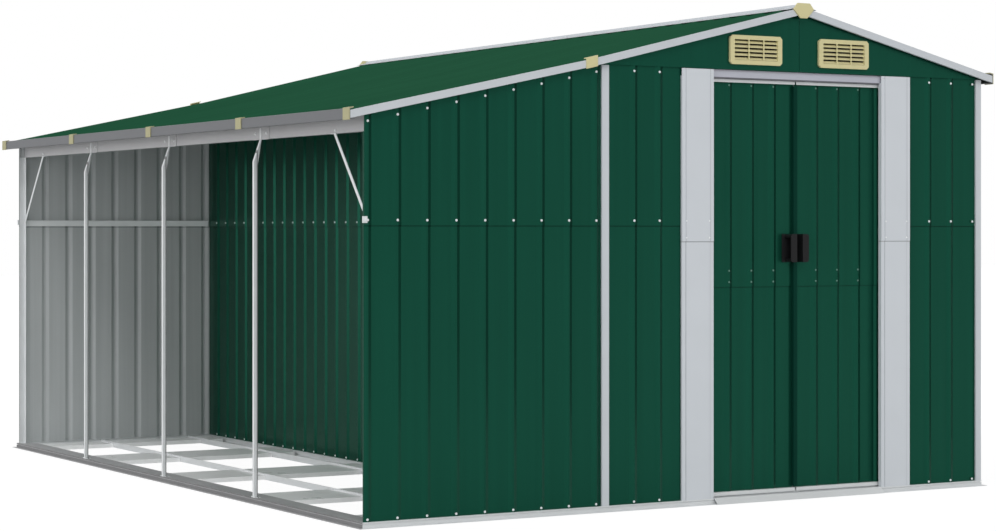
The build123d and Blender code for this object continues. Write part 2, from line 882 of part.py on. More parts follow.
def roof_section(low_x):
    """Section of a roof sheet at its low end."""
    face = roof_line(low_x) - sheet
    first = front_y + roof_first_rib
    cover = trim_flange
    return ribbed_outline(roof_front, roof_back, first, roof_rib_pitch, face, 1, cover, cover)


def rise_along(low_x, high_x, slope):
    """Way up a slope from its low end to its high end."""
    return Vector(high_x - low_x, 0, abs(high_x - low_x) * slope)


leanto_low = left_eave_x + sheet
leanto_rise = rise_along(leanto_low, joint_x, leanto_slope)
with BuildPart() as roof_sheet_leanto:
    with BuildSketch(Plane.YZ.offset(leanto_low)):
        filled(roof_section(leanto_low))
    extrude(amount=leanto_rise.length, dir=leanto_rise.normalized())
roof_sheet_leanto.part.label = "roof_sheet_leanto"

left_rise = rise_along(joint_x, ridge_x, roof_slope)
with BuildPart() as roof_sheet_left:
    with BuildSketch(Plane.YZ.offset(joint_x)):
        filled(roof_section(joint_x))
    extrude(amount=left_rise.length, dir=left_rise.normalized())
roof_sheet_left.part.label = "roof_sheet_left"

right_low = right_eave_x - sheet
right_rise = rise_along(right_low, ridge_x, roof_slope)
with BuildPart() as roof_sheet_right:
    with BuildSketch(Plane.YZ.offset(right_low)):
        filled(roof_section(right_low))
    extrude(amount=right_rise.length, dir=right_rise.normalized())
roof_sheet_right.part.label = "roof_sheet_right"

# Ridge cap: a folded strip with a raised roll, laid on the roof ribs
roof_length = wall_length + 2 * end_overhang
with BuildPart() as ridge_cap:
    roll_foot = ridge_roll_half + sheet
    cap_side = [
        (ridge_cap_half, crest_over(ridge_x + ridge_cap_half)),
        (roll_foot, crest_over(ridge_x + roll_foot)),
        (ridge_roll_half, crest_over(ridge_x) + ridge_roll_height),
    ]
    upper = [(reach, height + sheet) for reach, height in cap_side]
    cap_right = [(ridge_x + reach, height) for reach, height in cap_side]
    cap_left = [(ridge_x - reach, height) for reach, height in reversed(cap_side)]
    top_left = [(ridge_x - reach, height) for reach, height in upper]
    top_right = [(ridge_x + reach, height) for reach, height in reversed(upper)]
    with BuildSketch(Plane.XZ.offset(-roof_length / 2)):
        filled(cap_right + cap_left + top_left + top_right)
    extrude(amount=roof_length)
ridge_cap.part.label = "ridge_cap"


# Rake trims: folded channels along the sloping edges, over the sheets' flat margin
def rake_outline(edge_y, out, height):
    """Section of a rake trim whose face is at edge_y and whose top is at a height."""
    return [
        (edge_y, height),
        (edge_y, height - trim_height),
        (edge_y - out * trim_lip, height - trim_height),
        (edge_y - out * trim_lip, height - trim_height + sheet),
        (edge_y - out * sheet, height - trim_height + sheet),
        (edge_y - out * sheet, height - sheet),
        (edge_y - out * trim_flange, height - sheet),
        (edge_y - out * trim_flange, height),
    ]


rake_runs = [
    (leanto_low, joint_x - seat_gap, leanto_slope),
    (joint_x + seat_gap, ridge_x - seat_gap, roof_slope),
    (right_low, ridge_x + seat_gap, roof_slope),
]
with BuildPart() as rake_trims:
    for low_x, high_x, slope in rake_runs:
        fall = rise_along(low_x, high_x, slope)
        with BuildSketch(Plane.YZ.offset(low_x)):
            filled(rake_outline(front_y - end_overhang, -1, roof_line(low_x)))
            filled(rake_outline(back_y + end_overhang, 1, roof_line(low_x)))
        extrude(amount=fall.length, dir=fall.normalized())
rake_trims.part.label = "rake_trims"

# Eave trims: folded channels along both eaves that close the ends of the roof ribs
with BuildPart() as eave_trims:
    with BuildSketch(Plane.XZ.offset(-roof_length / 2)):
        for edge, into in ((left_eave_x, 1), (right_eave_x, -1)):
            top = crest_over(edge) + sheet
            bottom = top - eave_height
            skin, lip = edge + into * sheet, edge + into * trim_lip
            filled(
                [
                    (edge, top),
                    (edge, bottom),
                    (edge + into * trim_flange, bottom),
                    (edge + into * trim_flange, bottom + sheet),
                    (skin, bottom + sheet),
                    (skin, crest_over(skin)),
                    (lip, crest_over(lip)),
                    (lip, crest_over(lip) + sheet),
                ]
            )
    extrude(amount=roof_length)
eave_trims.part.label = "eave_trims"

# Moulded clips that cover the joints and corners of the trims
with BuildPart() as ridge_end_caps:
    cap_face = roof_length / 2 + seat_gap
    cap_top = crest_over(ridge_x) + ridge_roll_height + sheet + clip_thickness
    side_z = cap_top - end_cap_shoulder
    foot_z = cap_top - end_cap_height
    for out in (-1, 1):
        with BuildSketch(Plane.XZ.offset(-out * cap_face)):
            filled(
                [
                    (ridge_x - end_cap_top_half, cap_top),
                    (ridge_x + end_cap_top_half, cap_top),
                    (ridge_x + end_cap_half, side_z),
                    (ridge_x + end_cap_foot_half, foot_z),
                    (ridge_x - end_cap_foot_half, foot_z),
                    (ridge_x - end_cap_half, side_z),
                ]
            )
        extrude(amount=-out * end_cap_thickness)
ridge_end_caps.part.label = "ridge_end_caps"


def rake_clip_outline(edge_y, out, top):
    """Section of a hooked clip over a rake trim whose top is at a height."""
    face = edge_y + out * seat_gap
    front = face + out * clip_thickness
    lift = top + rib_depth + seat_gap
    hook = edge_y - out * clip_lip
    return [
        (front, lift + clip_thickness),
        (front, top - trim_height - clip_thickness),
        (face, top - trim_height - clip_thickness),
        (face, lift),
        (hook, lift),
        (hook, lift + clip_thickness),
    ]


clip_low = joint_x - clip_length / 2
clip_high = joint_x + clip_length / 2
with BuildPart() as rake_clips:
    for near_x, far_x, slope in ((clip_low, joint_x, leanto_slope), (joint_x, clip_high, roof_slope)):
        clip_rise = rise_along(near_x, far_x, slope)
        with BuildSketch(Plane.YZ.offset(near_x)):
            filled(rake_clip_outline(front_y - end_overhang, -1, roof_line(near_x)))
            filled(rake_clip_outline(back_y + end_overhang, 1, roof_line(near_x)))
        extrude(amount=clip_rise.length, dir=clip_rise.normalized())
rake_clips.part.label = "rake_clips"

clip_end_row = (roof_length - clip_length) / 2
clip_rows = post_rows + [-clip_end_row, clip_end_row]
with BuildPart() as eave_clips:
    for middle in clip_rows:
        with BuildSketch(Plane.XZ.offset(-middle - clip_length / 2)):
            for edge, into in ((left_eave_x, 1), (right_eave_x, -1)):
                face = edge - into * seat_gap
                front = face - into * clip_thickness
                top = crest_over(edge) + sheet + seat_gap
                hook = edge + into * clip_lip
                lift = crest_over(hook) + sheet + seat_gap
                filled(
                    [
                        (front, top + clip_thickness),
                        (front, top - eave_height - clip_thickness),
                        (face, top - eave_height - clip_thickness),
                        (face, top),
                        (hook, lift),
                        (hook, lift + clip_thickness),
                    ]
                )
        extrude(amount=clip_length)
eave_clips.part.label = "eave_clips"

# Door tracks: a header channel with a ledge for the slide blocks, and a sill with a guide rib
header_face = front_y + lower_skin
track_start = shed_x + inner_face + mid_rail_depth + seat_gap
track_end = right_x - inner_face - mid_rail_depth - seat_gap
with BuildPart() as door_header:
    with BuildSketch(Plane.YZ.offset(track_start)):
        filled(
            [
                (header_face, track_top),
                (header_face, track_bottom),
                (header_face + track_ledge, track_bottom),
                (header_face + track_ledge, track_bottom + sheet),
                (header_face + sheet, track_bottom + sheet),
                (header_face + sheet, track_top - sheet),
                (header_face + track_depth - sheet, track_top - sheet),
                (header_face + track_depth - sheet, track_top - track_back_lip),
                (header_face + track_depth, track_top - track_back_lip),
                (header_face + track_depth, track_top),
            ]
        )
    extrude(amount=track_end - track_start)
door_header.part.label = "door_header"

with BuildPart() as door_sill:
    guide_y = front_y + guide_line
    sill_back = guide_y + guide_depth
    with BuildSketch(Plane.YZ.offset(track_start)):
        filled(
            [
                (guide_y, base_height),
                (guide_y, base_height + guide_height),
                (guide_y + sheet, base_height + guide_height),
                (guide_y + sheet, base_height + sheet),
                (sill_back - sheet, base_height + sheet),
                (sill_back - sheet, base_height + guide_back_lip),
                (sill_back, base_height + guide_back_lip),
                (sill_back, base_height),
            ]
        )
    extrude(amount=track_end - track_start)
door_sill.part.label = "door_sill"

# Threshold: a folded ramp over the front rail in the doorway
threshold_half = door_half_opening - sheet - seat_gap
with BuildPart() as threshold:
    step_y = front_y - rail_step - seat_gap
    low_y = step_y - threshold_reach
    tail_y = front_y + threshold_tail
    with BuildSketch(Plane.YZ.offset(ridge_x - threshold_half)):
        filled(
            [
                (low_y - sheet, 0),
                (low_y, 0),
                (step_y, base_height),
                (tail_y, base_height),
                (tail_y, base_height + sheet),
                (step_y - sheet / 2, base_height + sheet),
            ]
        )
    extrude(amount=2 * threshold_half)
threshold.part.label = "threshold"


# Sliding doors, each hung from the header. The left one is made, and the right one mirrors it.
door_inner_x = ridge_x - door_middle_gap
door_outer_x = ridge_x - door_half_opening - door_edge_cover
door_middle_x = (door_inner_x + door_outer_x) / 2
door_width = door_inner_x - door_outer_x
door_rib_x = ridge_x - door_first_rib
door_surface = front_y + door_face
lower_surface = door_surface + lower_skin
rail_face = jamb_back + jamb_return + sliding_gap
green_bottom = door_bottom + door_bottom_rail
green_top = door_top - door_top_rail
sheet_top = door_top - sheet - seat_gap


def door_sheet(face):
    """Section of a sheet of the left door."""
    return ribbed_outline(
        door_outer_x, door_inner_x, door_rib_x, door_rib_pitch, face, -1, cover_end=door_margin
    )


with BuildPart() as left_door_panel:
    with BuildSketch(wall_section(green_bottom + seat_gap)):
        filled(door_sheet(lower_surface))
    extrude(amount=door_lap + door_lap_overlap - green_bottom - seat_gap)
    with BuildSketch(wall_section(door_lap)):
        filled(door_sheet(door_surface))
    extrude(amount=sheet_top - door_lap)
left_door_panel.part.label = "left_door_panel"

with BuildPart() as right_door_panel:
    mirror(left_door_panel.part, about=door_mirror)
right_door_panel.part.label = "right_door_panel"

# Door frame: bars behind the sheets, folded rails that cap them above and below, and two hangers
# whose slide blocks run on the header's ledge
frame_face = front_y + door_frame_face
bars_bottom = door_bottom + sheet
bars_height = door_top - bars_bottom
block_front = header_face + sheet + seat_gap
block_bottom = track_bottom + sheet + seat_gap
arm_top = block_bottom + block_height
with BuildPart() as left_door_frame:
    with BuildSketch(Plane.XZ.offset(-frame_face)):
        with Locations((door_middle_x, bars_bottom + bars_height / 2)):
            Rectangle(door_width, bars_height)
            Rectangle(
                door_width - 2 * door_frame_bar, bars_height - 2 * door_frame_bar, mode=Mode.SUBTRACT
            )
        with Locations((door_middle_x, door_lap + door_lap_overlap / 2)):
            Rectangle(door_width, door_frame_bar)
    extrude(amount=-door_frame_depth)
    with BuildSketch(Plane.YZ.offset(door_outer_x)):
        for leg_bottom, web_top in ((door_bottom, green_bottom), (green_top, door_top)):
            filled(
                [
                    (rail_face, leg_bottom),
                    (rail_face, web_top),
                    (frame_face, web_top),
                    (frame_face, web_top - sheet),
                    (rail_face + sheet, web_top - sheet),
                    (rail_face + sheet, leg_bottom),
                ]
            )
    extrude(amount=door_width)
    for hanger_x in (door_outer_x + hanger_inset, door_inner_x - hanger_inset):
        with BuildSketch(Plane.XZ.offset(-frame_face)):
            with Locations((hanger_x, (door_top + arm_top) / 2)):
                Rectangle(hanger_width, arm_top - door_top)
        extrude(amount=-hanger_thickness)
        with BuildSketch(wall_section(arm_top)):
            with Locations((hanger_x, (block_front + frame_face) / 2)):
                Rectangle(hanger_width, frame_face - block_front)
        extrude(amount=-hanger_thickness)
        with BuildSketch(Plane.XZ.offset(-block_front)):
            with Locations((hanger_x, block_bottom + block_height / 2)):
                Rectangle(block_length, block_height)
        extrude(amount=-block_width)
left_door_frame.part.label = "left_door_frame"

with BuildPart() as right_door_frame:
    mirror(left_door_frame.part, about=door_mirror)
right_door_frame.part.label = "right_door_frame"

# Pull handles beside the doors' meeting edges: a plate and a deep grip, hollowed from its far side
handle_x = ridge_x - handle_inset - handle_width / 2
handle_z = handle_bottom + handle_height / 2
grip_x = ridge_x - handle_inset - handle_grip_width / 2
square_x = ridge_x - handle_inset - handle_grip_width / 4
with BuildPart() as left_door_handle:
    with BuildSketch(Plane.XZ.offset(-door_surface)):
        with Locations((handle_x, handle_z)):
            Rectangle(handle_width, handle_height)
    extrude(amount=handle_plate)
    with BuildSketch(Plane.XZ.offset(-door_surface)):
        with Locations((grip_x, handle_z)):
            RectangleRounded(handle_grip_width, handle_height, handle_radius)
        with Locations((square_x, handle_z)):
            Rectangle(handle_grip_width / 2, handle_height)
    extrude(amount=handle_reach)
    with BuildSketch(Plane.XZ.offset(handle_plate - door_surface)):
        with Locations((grip_x - handle_wall, handle_z)):
            Rectangle(handle_grip_width, handle_pocket_height)
    extrude(amount=handle_reach - handle_plate - handle_wall, mode=Mode.SUBTRACT)
left_door_handle.part.label = "left_door_handle"

with BuildPart() as right_door_handle:
    mirror(left_door_handle.part, about=door_mirror)
right_door_handle.part.label = "right_door_handle"

# Cover strip on the left door, in front of the gap between the doors
with BuildPart() as door_cover_strip:
    strip_face = front_y + door_crest - cover_strip_gap
    strip_foot = green_bottom + sliding_gap
    with BuildSketch(wall_section(strip_foot)):
        filled(
            [
                (ridge_x - cover_strip_half, door_surface),
                (ridge_x - cover_strip_half, strip_face),
                (ridge_x + cover_strip_half, strip_face),
                (ridge_x + cover_strip_half, strip_face - sheet),
                (ridge_x - cover_strip_half - sheet, strip_face - sheet),
                (ridge_x - cover_strip_half - sheet, door_surface),
            ]
        )
    extrude(amount=green_top - sliding_gap - strip_foot)
door_cover_strip.part.label = "door_cover_strip"

pieces = [
    base_rails_ends,
    base_rails_sides,
    base_rail_middle,
    floor_beams,
    floor_plates,
    threshold,
    leanto_front_wall,
    leanto_back_wall,
    leanto_end_posts,
    open_side_posts,
    eaves_beam,
    corner_braces,
    middle_rails,
    top_rails,
    shed_left_wall,
    shed_right_wall,
    shed_back_wall,
    front_wall_left,
    front_wall_right,
    door_jambs,
    front_gable,
    back_gable,
    gable_vents,
    seam_strips,
    corner_strips,
    roof_purlins,
    roof_sheet_leanto,
    roof_sheet_left,
    roof_sheet_right,
    ridge_cap,
    rake_trims,
    eave_trims,
    ridge_end_caps,
    rake_clips,
    eave_clips,
    door_header,
    door_sill,
    left_door_panel,
    left_door_frame,
    left_door_handle,
    door_cover_strip,
    right_door_panel,
    right_door_frame,
    right_door_handle,
]
for piece in pieces:
    export_step(piece.part, f"parts/{piece.part.label}.step")
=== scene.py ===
import math

import bpy
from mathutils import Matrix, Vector


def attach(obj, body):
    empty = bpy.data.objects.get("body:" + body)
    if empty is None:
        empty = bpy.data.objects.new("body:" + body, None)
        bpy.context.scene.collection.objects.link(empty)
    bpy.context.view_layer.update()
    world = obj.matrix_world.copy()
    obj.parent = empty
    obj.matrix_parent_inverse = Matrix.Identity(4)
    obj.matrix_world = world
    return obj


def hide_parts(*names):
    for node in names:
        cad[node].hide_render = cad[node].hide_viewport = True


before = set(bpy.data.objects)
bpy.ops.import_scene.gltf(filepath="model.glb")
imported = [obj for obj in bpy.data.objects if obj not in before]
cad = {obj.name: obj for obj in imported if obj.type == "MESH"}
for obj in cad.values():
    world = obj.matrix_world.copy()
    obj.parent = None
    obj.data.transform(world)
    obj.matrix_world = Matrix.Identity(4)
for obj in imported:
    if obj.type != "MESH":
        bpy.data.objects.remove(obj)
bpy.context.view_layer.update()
scene = bpy.context.scene

# The view of the photograph: a long lens just under a metre up, off the open left side. The
# picture keeps upright lines upright, so the camera is level and its frame is shifted.
EYE = (-4.8482, -8.6444, 0.9686)
TURN_DEGREES = -30.238
LENS_MM = 86.85
SENSOR_MM = 36.0
FRAME_SHIFT = -0.0355
VIEW_REACH = 200.0

lens = bpy.data.cameras.new("view")
lens.lens = LENS_MM
lens.sensor_width = SENSOR_MM
lens.shift_y = FRAME_SHIFT
lens.clip_end = VIEW_REACH
camera = bpy.data.objects.new("view", lens)
camera.location = EYE
camera.rotation_euler = (math.radians(90), 0, math.radians(TURN_DEGREES))
scene.collection.objects.link(camera)
scene.camera = camera
scene.view_settings.view_transform = "Standard"


# The studio: a nearly even sky with a bright panel to the left and a dark card low to the right,
# a soft sun from the front and above, and a pale level floor that darkens towards the card. What
# looks straight past the shed sees white. Reflections see the sky, the panel and the card.
def new_material(name):
    """An empty node material and its output node."""
    material = bpy.data.materials.new(name)
    material.use_nodes = True
    nodes = material.node_tree.nodes
    nodes.clear()
    return material, nodes, material.node_tree.links, nodes.new("ShaderNodeOutputMaterial")


def calc(nodes, links, operation, *values):
    """The result of a Math node whose inputs are numbers or the results of other nodes."""
    step = nodes.new("ShaderNodeMath")
    step.operation = operation
    for socket, value in zip(step.inputs, values):
        if isinstance(value, bpy.types.NodeSocket):
            links.new(value, socket)
        else:
            socket.default_value = value
    return step.outputs[0]


def ranged(nodes, links, value, target, source=(0.0, 1.0), smooth=False):
    """A value taken from one span to another and held at both ends."""
    span = nodes.new("ShaderNodeMapRange")
    if smooth:
        span.interpolation_type = "SMOOTHSTEP"
    for socket, limit in zip(("From Min", "From Max", "To Min", "To Max"), (*source, *target)):
        span.inputs[socket].default_value = limit
    links.new(value, span.inputs["Value"])
    return span.outputs[0]


SKY_LEVELS = (0.82, 0.74)
SKY_SPAN = (0.0, 0.7)
SEEN_WHITE = 1.0
CARD_DARKNESS = 0.90
CARD_EDGE = (0.70, 0.90)
CARD_TOP = (0.10, 0.18)
PANEL_GLOW = 2.6
PANEL_EDGE = (-0.80, -0.45)
SUN_STRENGTH = 0.85
SUN_SPREAD_DEGREES = 28
SUN_FROM = (-0.22, -0.80, 0.62)
FLOOR_HALF = 40.0
FLOOR_WHITE = 0.86
FLOOR_SEEN_WHITE = 1.08
FLOOR_SEEN_PART = 0.86
FLOOR_CARD_START = (2.2, 3.6)

world = bpy.data.worlds.new("studio")
scene.world = world
world.use_nodes = True
sky, sky_links = world.node_tree.nodes, world.node_tree.links
sky.clear()
sky_out = sky.new("ShaderNodeOutputWorld")
seen = sky.new("ShaderNodeLightPath")
seen_directly = calc(sky, sky_links, "MAXIMUM", seen.outputs["Is Camera Ray"],
                     seen.outputs["Is Transmission Ray"])
way = sky.new("ShaderNodeSeparateXYZ")
sky_links.new(sky.new("ShaderNodeTexCoord").outputs["Generated"], way.inputs[0])
rise = ranged(sky, sky_links, way.outputs["Z"], SKY_LEVELS, SKY_SPAN)
card = ranged(sky, sky_links, way.outputs["X"], (1.0, 1.0 - CARD_DARKNESS), CARD_EDGE, smooth=True)
over_card = ranged(sky, sky_links, way.outputs["Z"], (0.0, 1.0), CARD_TOP, smooth=True)
low_card = calc(sky, sky_links, "MAXIMUM", card, over_card)
panel = ranged(sky, sky_links, way.outputs["X"], (PANEL_GLOW, 1.0), PANEL_EDGE, smooth=True)
sides = calc(sky, sky_links, "MULTIPLY", low_card, panel)
lit = sky.new("ShaderNodeBackground")
sky_links.new(calc(sky, sky_links, "MULTIPLY", rise, sides), lit.inputs["Strength"])
plain = sky.new("ShaderNodeBackground")
plain.inputs["Strength"].default_value = SEEN_WHITE
plain.inputs["Color"].default_value = (1, 1, 1, 1)
pick = sky.new("ShaderNodeMixShader")
sky_links.new(seen_directly, pick.inputs[0])
sky_links.new(lit.outputs[0], pick.inputs[1])
sky_links.new(plain.outputs[0], pick.inputs[2])
sky_links.new(pick.outputs[0], sky_out.inputs["Surface"])

sun_data = bpy.data.lights.new("soft_sun", "SUN")
sun_data.energy = SUN_STRENGTH
sun_data.angle = math.radians(SUN_SPREAD_DEGREES)
sun = bpy.data.objects.new("soft_sun", sun_data)
sun.rotation_euler = Vector(SUN_FROM).to_track_quat("Z", "Y").to_euler()
scene.collection.objects.link(sun)

ground, nodes, links, ground_out = new_material("white_ground")
place = nodes.new("ShaderNodeTexCoord").outputs["Object"]
bearing = nodes.new("ShaderNodeVectorMath")
bearing.operation = "NORMALIZE"
links.new(place, bearing.inputs[0])
split_bearing = nodes.new("ShaderNodeSeparateXYZ")
links.new(bearing.outputs[0], split_bearing.inputs[0])
distance = nodes.new("ShaderNodeVectorMath")
distance.operation = "LENGTH"
links.new(place, distance.inputs[0])
toward_card = ranged(nodes, links, split_bearing.outputs["X"], (0.0, 1.0), CARD_EDGE, smooth=True)
away = ranged(nodes, links, distance.outputs["Value"], (0.0, 1.0), FLOOR_CARD_START)
under_card = calc(nodes, links, "MULTIPLY", toward_card, away)
matt = nodes.new("ShaderNodeBsdfDiffuse")
matt_tones = (FLOOR_WHITE, FLOOR_WHITE * (1 - CARD_DARKNESS))
links.new(ranged(nodes, links, under_card, matt_tones), matt.inputs["Color"])
glow = nodes.new("ShaderNodeEmission")
glow.inputs["Strength"].default_value = FLOOR_SEEN_WHITE
glow_share = ranged(nodes, links, under_card, (FLOOR_SEEN_PART, 1.0))
camera_ray = nodes.new("ShaderNodeLightPath").outputs["Is Camera Ray"]
ground_mix = nodes.new("ShaderNodeMixShader")
links.new(calc(nodes, links, "MULTIPLY", camera_ray, glow_share), ground_mix.inputs[0])
links.new(matt.outputs[0], ground_mix.inputs[1])
links.new(glow.outputs[0], ground_mix.inputs[2])
links.new(ground_mix.outputs[0], ground_out.inputs["Surface"])

floor_mesh = bpy.data.meshes.new("floor")
corners = [(-FLOOR_HALF, -FLOOR_HALF), (FLOOR_HALF, -FLOOR_HALF),
           (FLOOR_HALF, FLOOR_HALF), (-FLOOR_HALF, FLOOR_HALF)]
floor_mesh.from_pydata([(x, y, 0.0) for x, y in corners], [], [(0, 1, 2, 3)])
floor_mesh.materials.append(ground)
floor = bpy.data.objects.new("floor", floor_mesh)
scene.collection.objects.link(floor)


# Painted sheets: walls, gables, doors and roof, of thin steel, ribbed except for the gables. They
# have green enamel outside and grey primer inside, told apart by the way a face points. A thin
# line under the edge of each upper sheet, where it laps over the lower one, is painted shade.
def noise_of(nodes, links, vector, scale, detail=2.0):
    """The value of a noise pattern."""
    noise = nodes.new("ShaderNodeTexNoise")
    noise.inputs["Scale"].default_value = scale
    noise.inputs["Detail"].default_value = detail
    links.new(vector, noise.inputs["Vector"])
    return noise.outputs["Fac"]


def painted_shade_bands(nodes, links, coords, tone, lines):
    """A tone darkened in bands of painted shade: each one is an axis, a place, a width and a
    shade.
    """
    for axis, place, width, shade in lines:
        split = nodes.new("ShaderNodeSeparateXYZ")
        links.new(coords.outputs["Object"], split.inputs[0])
        inside = calc(nodes, links, "COMPARE", split.outputs[axis], place, width / 2)
        darker = ranged(nodes, links, inside, (1.0, shade))
        tone = calc(nodes, links, "MULTIPLY", tone, darker)
    return tone


def finish_coat(nodes, links, coords, shader, colour, tone, gloss, grain):
    """Tone a colour, set its gloss and add a fine grain: scale, strength and depth."""
    toned = nodes.new("ShaderNodeVectorMath")
    toned.operation = "SCALE"
    if isinstance(colour, bpy.types.NodeSocket):
        links.new(colour, toned.inputs[0])
    else:
        toned.inputs[0].default_value = colour
    links.new(tone, toned.inputs["Scale"])
    links.new(toned.outputs[0], shader.inputs["Base Color"])
    links.new(gloss, shader.inputs["Roughness"])
    scale, strength, depth = grain
    bump = nodes.new("ShaderNodeBump")
    bump.inputs["Strength"].default_value = strength
    bump.inputs["Distance"].default_value = depth
    links.new(noise_of(nodes, links, coords.outputs["Object"], scale), bump.inputs["Height"])
    links.new(bump.outputs[0], shader.inputs["Normal"])


SHEET_SPECULAR = 0.2
OUTSIDE_LIMIT = -0.2
SHEET_WEAR = (2.3, 4.0)
SHEET_TONES = (0.95, 1.05)
STREAK_ALONG, STREAK_ACROSS = 0.6, 34.0
STREAK_NOISE = (1.0, 3.0)
STREAK_TONES = (0.84, 1.16)
SHEET_GLOSS_SPREAD = 0.04
SHEET_GRAIN = (260.0, 0.06, 0.0004)


def painted_sheet(name, outside, inside, axis, sign, sheen=0.62, roughness=0.24, lines=()):
    """Enamel on the faces that point along an axis, primer on the others, and any painted shade
    lines.
    """
    material, nodes, links, out = new_material(name)
    shader = nodes.new("ShaderNodeBsdfPrincipled")
    shader.inputs["Specular IOR Level"].default_value = SHEET_SPECULAR * sheen
    coords = nodes.new("ShaderNodeTexCoord")
    facing = nodes.new("ShaderNodeSeparateXYZ")
    links.new(coords.outputs["Normal"], facing.inputs[0])
    outward = calc(nodes, links, "MULTIPLY", facing.outputs[axis], sign)
    is_outside = calc(nodes, links, "GREATER_THAN", outward, OUTSIDE_LIMIT)
    wear = noise_of(nodes, links, coords.outputs["Object"], *SHEET_WEAR)
    shade = ranged(nodes, links, wear, SHEET_TONES)
    stretch = nodes.new("ShaderNodeMapping")
    stretch.inputs["Scale"].default_value = [STREAK_ALONG] * 3
    stretch.inputs["Scale"].default_value[0 if axis == "Y" else 1] = STREAK_ACROSS
    links.new(coords.outputs["Object"], stretch.inputs["Vector"])
    streaks = noise_of(nodes, links, stretch.outputs[0], *STREAK_NOISE)
    streak_tone = ranged(nodes, links, streaks, STREAK_TONES)
    marked = calc(nodes, links, "MULTIPLY", shade, streak_tone)
    colour = nodes.new("ShaderNodeMix")
    colour.data_type = "RGBA"
    colour.inputs["A"].default_value = (*inside, 1)
    colour.inputs["B"].default_value = (*outside, 1)
    links.new(is_outside, colour.inputs["Factor"])
    metal = calc(nodes, links, "MULTIPLY", is_outside, sheen)
    links.new(metal, shader.inputs["Metallic"])
    spread = (roughness - SHEET_GLOSS_SPREAD, roughness + SHEET_GLOSS_SPREAD)
    gloss = ranged(nodes, links, wear, spread)
    tone = painted_shade_bands(nodes, links, coords, marked, lines)
    finish_coat(nodes, links, coords, shader, colour.outputs["Result"], tone, gloss, SHEET_GRAIN)
    links.new(shader.outputs[0], out.inputs["Surface"])
    return material


def dress(material, *names):
    """Give CAD nodes one material."""
    for name in names:
        mesh = cad[name].data
        mesh.materials.clear()
        mesh.materials.append(material)


WALL_GREEN = (0.0065, 0.075, 0.046)
ROOF_GREEN = (0.017, 0.082, 0.043)
INNER_GREY = (0.46, 0.483, 0.487)
WALL_LAP_Z, DOOR_LAP_Z = 0.984, 0.766
LAP_LINE = 0.0034
WALL_LAP_SHADE, DOOR_LAP_SHADE = 0.5, 0.6
# Painted shade: a thin darker band just under the edge of each upper sheet's lap.
WALL_LAP = [("Z", WALL_LAP_Z - LAP_LINE / 2, LAP_LINE, WALL_LAP_SHADE)]
DOOR_LAP = [("Z", DOOR_LAP_Z - LAP_LINE / 2, LAP_LINE, DOOR_LAP_SHADE)]

for name, axis, sign, lines, dressed in (
    ("enamel_front", "Y", -1, WALL_LAP,
     ("leanto_front_wall", "front_wall_left", "front_wall_right", "front_gable")),
    ("enamel_doors", "Y", -1, DOOR_LAP, ("left_door_panel", "right_door_panel")),
    ("enamel_back", "Y", 1, WALL_LAP, ("leanto_back_wall", "shed_back_wall", "back_gable")),
    ("enamel_left", "X", -1, WALL_LAP, ("shed_left_wall",)),
    ("enamel_right", "X", 1, WALL_LAP, ("shed_right_wall",)),
):
    dress(painted_sheet(name, WALL_GREEN, INNER_GREY, axis, sign, lines=lines), *dressed)
dress(painted_sheet("enamel_roof", ROOF_GREEN, INNER_GREY, "Z", 1, sheen=0.0, roughness=0.7),
      "roof_sheet_leanto", "roof_sheet_left", "roof_sheet_right")

# Folded trims: the strips over seams and corners, the rake trims and the ridge cap, of light
# grey coated steel that is slightly cloudy. They lie over the sheets' edges.
METAL_PATCHES = (9.0, 5.0)
METAL_GLOSS_SPREAD = 0.07
METAL_GRAIN = (420.0, 0.05, 0.0003)


def coated_metal(name, colour, roughness=0.42, metallic=0.0, specular=0.4, cloud=0.05, lines=()):
    """Coated or plated steel, or moulded plastic, in one cloudy colour, with any painted shade
    lines.
    """
    material, nodes, links, out = new_material(name)
    shader = nodes.new("ShaderNodeBsdfPrincipled")
    shader.inputs["Metallic"].default_value = metallic
    shader.inputs["Specular IOR Level"].default_value = specular
    coords = nodes.new("ShaderNodeTexCoord")
    patches = noise_of(nodes, links, coords.outputs["Object"], *METAL_PATCHES)
    clouded = ranged(nodes, links, patches, (1 - cloud, 1 + cloud))
    spread = (roughness - METAL_GLOSS_SPREAD, roughness + METAL_GLOSS_SPREAD)
    gloss = ranged(nodes, links, patches, spread)
    tone = painted_shade_bands(nodes, links, coords, clouded, lines)
    finish_coat(nodes, links, coords, shader, colour, tone, gloss, METAL_GRAIN)
    links.new(shader.outputs[0], out.inputs["Surface"])
    return material


TRIM_GREY = (0.53, 0.56, 0.59)
dress(coated_metal("trim_grey", TRIM_GREY, cloud=0.03),
      "seam_strips", "corner_strips", "rake_trims", "ridge_cap")

# Door jambs: wide channels of coated steel, a little lighter than the trims, with a raised middle
# between two folds. Each is lapped in its height and screwed above the lap's edge.
RIDGE_X = 0.463
JAMB_GREY = (0.58, 0.61, 0.645)
JAMB_INNER, JAMB_OUTER, JAMB_BAND = 0.3776, 0.5132, 0.016
JAMB_LAP_Z = 0.929
JAMB_LAP_LINE, JAMB_LAP_SHADE = 0.003, 0.55
FOLD_LINE, FOLD_SHADE = 0.0022, 0.72
# Painted shade: thin darker lines under the lap's edge and along the folds of both jambs.
jamb_shade_lines = [("Z", JAMB_LAP_Z - JAMB_LAP_LINE / 2, JAMB_LAP_LINE, JAMB_LAP_SHADE)]
jamb_shade_lines += [("X", RIDGE_X + side * reach, FOLD_LINE, FOLD_SHADE) for side in (-1, 1)
               for reach in (JAMB_INNER + JAMB_BAND, JAMB_OUTER - JAMB_BAND)]
dress(coated_metal("jamb_grey", JAMB_GREY, cloud=0.03, lines=jamb_shade_lines), "door_jambs")

# Eave trims: folded channels of the same steel in a darker grey, along both low edges of the
# roof, where they close the ends of its ribs.
EAVE_GREY = (0.14, 0.145, 0.155)
dress(coated_metal("eave_metal", EAVE_GREY, roughness=0.4, metallic=0.2), "eave_trims")

